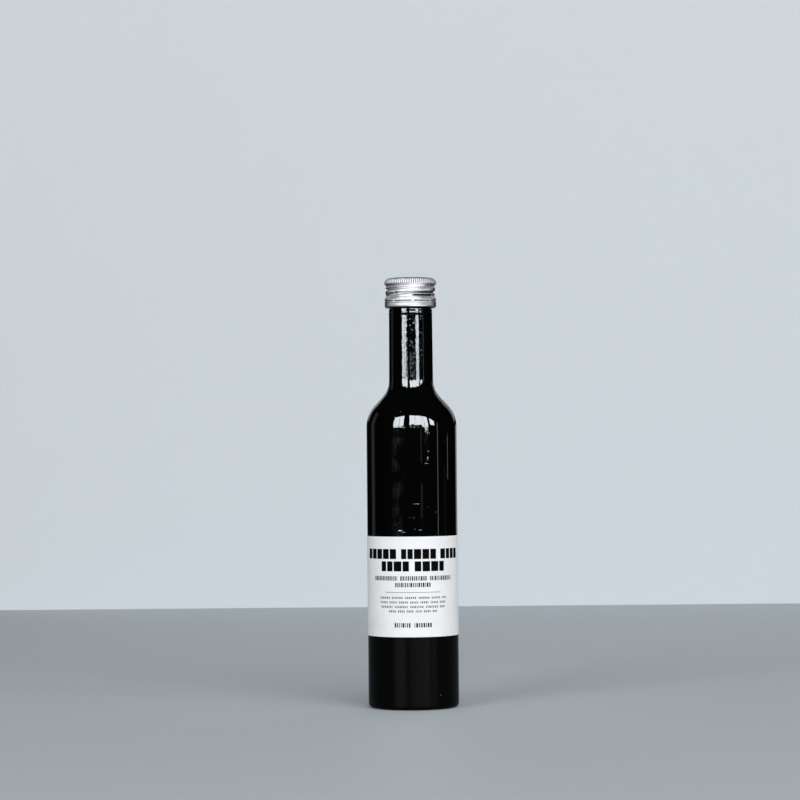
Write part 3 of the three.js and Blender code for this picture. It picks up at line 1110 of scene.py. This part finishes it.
# Its flat lights: name, place, +1 to face up or -1 to face down, width, length and share of that light.
FLAT_LIGHTS = (
    ("skylight", (0, -0.5, 2.3), -1, 0.9, 1.0, 1.1),
    ("ceiling", (0, -1.3, 2.35), -1, 3.4, 2.6, 0.3),
    ("table light", (0.1, -0.5, 0.02), 1, 1.2, 0.9, 0.5),
    ("table glow", (0.17, -0.25, 0.03), 1, 0.4, 0.45, 0.7),
)
# The light over the floor: its height and its side.
OVERHEAD = (2.4, 2)

WHITE = (1, 1, 1)

GLASS_PIECES = ("bottle_glass", "foot_knurling")
METAL_PIECES = ("aluminium_cap",)
PAPER_PIECES = ("label_sheet", "print_bold", "print_fine")


def flat_sheet(name, corners, paint):
    mesh = bpy.data.meshes.new(name)
    mesh.from_pydata(corners, [], [tuple(range(len(corners)))])
    mesh.materials.append(paint)
    sheet = new_piece(name, mesh)
    return sheet


def floor_paint(s):
    """Pale paint, which looks darker in the bottle's reflections than it does to the camera."""
    m = Shading("floor paint", base_color=(*s.floor, 1), roughness=0.55, specular_ior_level=0.3)
    darker = (*(c * s.floor_share for c in s.floor), 1)
    mirrored = m.node("ShaderNodeBsdfPrincipled", {"Base Color": darker}).outputs["BSDF"]
    glossy = m.node("ShaderNodeLightPath").outputs["Is Glossy Ray"]
    both = m.node("ShaderNodeMixShader", {0: glossy, 1: m.shader.outputs["BSDF"], 2: mirrored})
    m.tree.links.new(both.outputs["Shader"], m.end.inputs["Surface"])
    return m.material


def make_floor(s):
    far = s.floor_reach
    flat_sheet("floor", [(-far, -far, 0), (far, -far, 0), (far, far, 0), (-far, far, 0)], floor_paint(s))


def make_backdrop(s):
    """A plain upright sheet behind the bottle, which no piece mirrors."""
    left, right, back, top = s.backdrop_left, s.backdrop_right, s.backdrop_distance, s.backdrop_top
    corners = [(left, back, 0), (right, back, 0), (right, back, top), (left, back, top)]
    paint = Shading("backdrop paint", base_color=(*s.backdrop, 1), roughness=0.9, specular_ior_level=0.3)
    flat_sheet("backdrop", corners, paint.material).visible_glossy = False


def receivers(name, pieces):
    """A collection of the pieces that one kind of light falls on."""
    chosen = bpy.data.collections.new(name)
    for piece in pieces:
        chosen.objects.link(bpy.data.objects[piece])
    return chosen


def area_light(name, place, towards, wide, high, radiance, falls_on, tint=WHITE):
    """A rectangle of light of even radiance, which no camera sees and which falls on some pieces only."""
    data = bpy.data.lights.new(name, "AREA")
    data.shape = "RECTANGLE"
    data.size = wide
    data.size_y = high
    data.energy = radiance * math.pi * wide * high
    data.color = tint
    light = bpy.data.objects.new(name, data)
    light.location = place
    light.rotation_euler = (Vector(towards) - Vector(place)).to_track_quat("-Z", "Y").to_euler()
    light.visible_camera = False
    light.light_linking.receiver_collection = falls_on
    bpy.context.scene.collection.objects.link(light)


def hang_pane(s, left, right, sill, head, radiance, falls_on, tint=WHITE):
    """One pane of the windows, in their wall."""
    across, up = (left + right) / 2, (sill + head) / 2
    place = (across, -s.window_distance, up)
    area_light("pane", place, (across, 0, up), right - left, head - sill, radiance, falls_on, tint)


def strips(sill, head):
    """A pane cut into strips: lower edge, upper edge and share of the light."""
    low, high, share = DULL_STRIP
    cuts = ((sill, low, 1), (low, high, share), (high, head, 1))
    pieces = [(max(sill, bottom), min(head, top), part) for bottom, top, part in cuts]
    return [piece for piece in pieces if piece[0] < piece[1]]


def hang_windows(s, glass, matt):
    """The windows twice: evenly bright for the matt pieces, and in strips for the glass to mirror."""
    for left, right, sill, head in PANES:
        hang_pane(s, left, right, sill, head, s.window_light, matt)
        for low, high, share in strips(sill, head):
            hang_pane(s, left, right, low, high, share * s.window_glint, glass, s.daylight)


def hang_round(name, s, azimuth, wide, low, high, radiance, falls_on, tint=WHITE):
    """An upright panel square to the bottle. Its direction, width and edges are in degrees."""
    azimuth, wide, low, high = map(math.radians, (azimuth, wide, low, high))
    distance = s.window_distance
    bottom, top = (s.camera_height + distance * math.tan(edge) for edge in (low, high))
    place = (distance * math.sin(azimuth), -distance * math.cos(azimuth), (bottom + top) / 2)
    width = 2 * distance * math.tan(wide / 2)
    area_light(name, place, (0, 0, place[2]), width, top - bottom, radiance, falls_on, tint)


def hang_metal_lights(s, falls_on):
    """Soft light for the cap: a ring of panels round it, a skylight, a ceiling and a pale table."""
    for places, low, high, share in RING:
        for j in places:
            hang_round("ring", s, j * RING_STEP, RING_STEP, low, high, share * s.metal_light, falls_on)
    for name, (x, y, z), side, wide, long, share in FLAT_LIGHTS:
        area_light(name, (x, y, z), (x, y, z + side), wide, long, share * s.metal_light, falls_on)


def make_camera(s):
    """A camera that faces +Y, then is turned, tipped up and rolled."""
    data = bpy.data.cameras.new("camera")
    data.lens = s.lens
    camera = bpy.data.objects.new("camera", data)
    yaw = Matrix.Rotation(s.yaw, 4, "Z")
    pitch = Matrix.Rotation(math.pi / 2 + s.pitch, 4, "X")
    roll = Matrix.Rotation(-s.roll, 4, "Z")
    place = Matrix.Translation((0, -s.camera_distance, s.camera_height))
    camera.matrix_world = place @ yaw @ pitch @ roll
    bpy.context.scene.collection.objects.link(camera)
    bpy.context.scene.camera = camera


def make_world(s):
    """A dark room, with a pale surround where the camera looks past the backdrop."""
    world = bpy.data.worlds.new("room")
    world.use_nodes = True
    nodes = Nodes(world.node_tree)
    room = nodes.node("ShaderNodeBackground", {"Color": (*[s.room_light] * 3, 1)}).outputs["Background"]
    surround = nodes.node("ShaderNodeBackground", {"Color": (*s.surround, 1)}).outputs["Background"]
    seen = nodes.node("ShaderNodeLightPath").outputs["Is Camera Ray"]
    both = nodes.node("ShaderNodeMixShader", {0: seen, 1: room, 2: surround}).outputs["Shader"]
    nodes.node("ShaderNodeOutputWorld", {"Surface": both})
    bpy.context.scene.world = world


class VINEGAR_OT_stage(bpy.types.Operator):
    """Make the plain floor and backdrop, the window light and the camera"""

    bl_idname = "vinegar.stage"
    bl_label = "Stage"

    def execute(self, context):
        s = context.scene.vinegar_bottle.stage
        make_floor(s)
        make_backdrop(s)
        glass = receivers("glass", GLASS_PIECES)
        metal = receivers("metal", METAL_PIECES)
        matt = receivers("matt", (*PAPER_PIECES, "floor", "backdrop"))
        paper = receivers("paper", PAPER_PIECES)
        ground = receivers("ground", ("floor",))
        hang_windows(s, glass, matt)
        for name, panels in (("slot", SLOTS), ("rim", RIMS)):
            for panel in panels:
                hang_round(name, s, *panel, glass, s.daylight)
        up, side = OVERHEAD
        area_light("overhead", (0, 0, up), (0, 0, 0), side, side, s.overhead_light, ground)
        for panel in FILLS:
            hang_round("fill", s, *panel, s.side_light, paper)
        hang_metal_lights(s, metal)
        make_camera(s)
        make_world(s)
        context.scene.view_settings.view_transform = "Standard"
        return {"FINISHED"}


class VINEGAR_PT_sidebar(bpy.types.Panel):
    """Lists the steps that make the bottle"""

    bl_idname = "VINEGAR_PT_sidebar"
    bl_label = "Vinegar Bottle"
    bl_space_type = "VIEW_3D"
    bl_region_type = "UI"
    bl_category = "Vinegar Bottle"

    def draw(self, context):
        for step in STEPS:
            self.layout.operator(step.bl_idname)


STEPS = (VINEGAR_OT_glass, VINEGAR_OT_cap, VINEGAR_OT_label, VINEGAR_OT_print, VINEGAR_OT_stage)
SETTINGS = (GlassSettings, CapSettings, LabelSettings, StageSettings, BottleSettings)


def register():
    for kind in (*SETTINGS, *STEPS, VINEGAR_PT_sidebar):
        bpy.utils.register_class(kind)
    bpy.types.Scene.vinegar_bottle = bpy.props.PointerProperty(type=BottleSettings)


def unregister():
    del bpy.types.Scene.vinegar_bottle
    for kind in (VINEGAR_PT_sidebar, *reversed(STEPS), *reversed(SETTINGS)):
        bpy.utils.unregister_class(kind)


def main():
    register()
    bpy.ops.vinegar.glass()
    bpy.ops.vinegar.cap()
    bpy.ops.vinegar.label()
    bpy.ops.vinegar.print()
    bpy.ops.vinegar.stage()


if __name__ == "__main__":
    main()
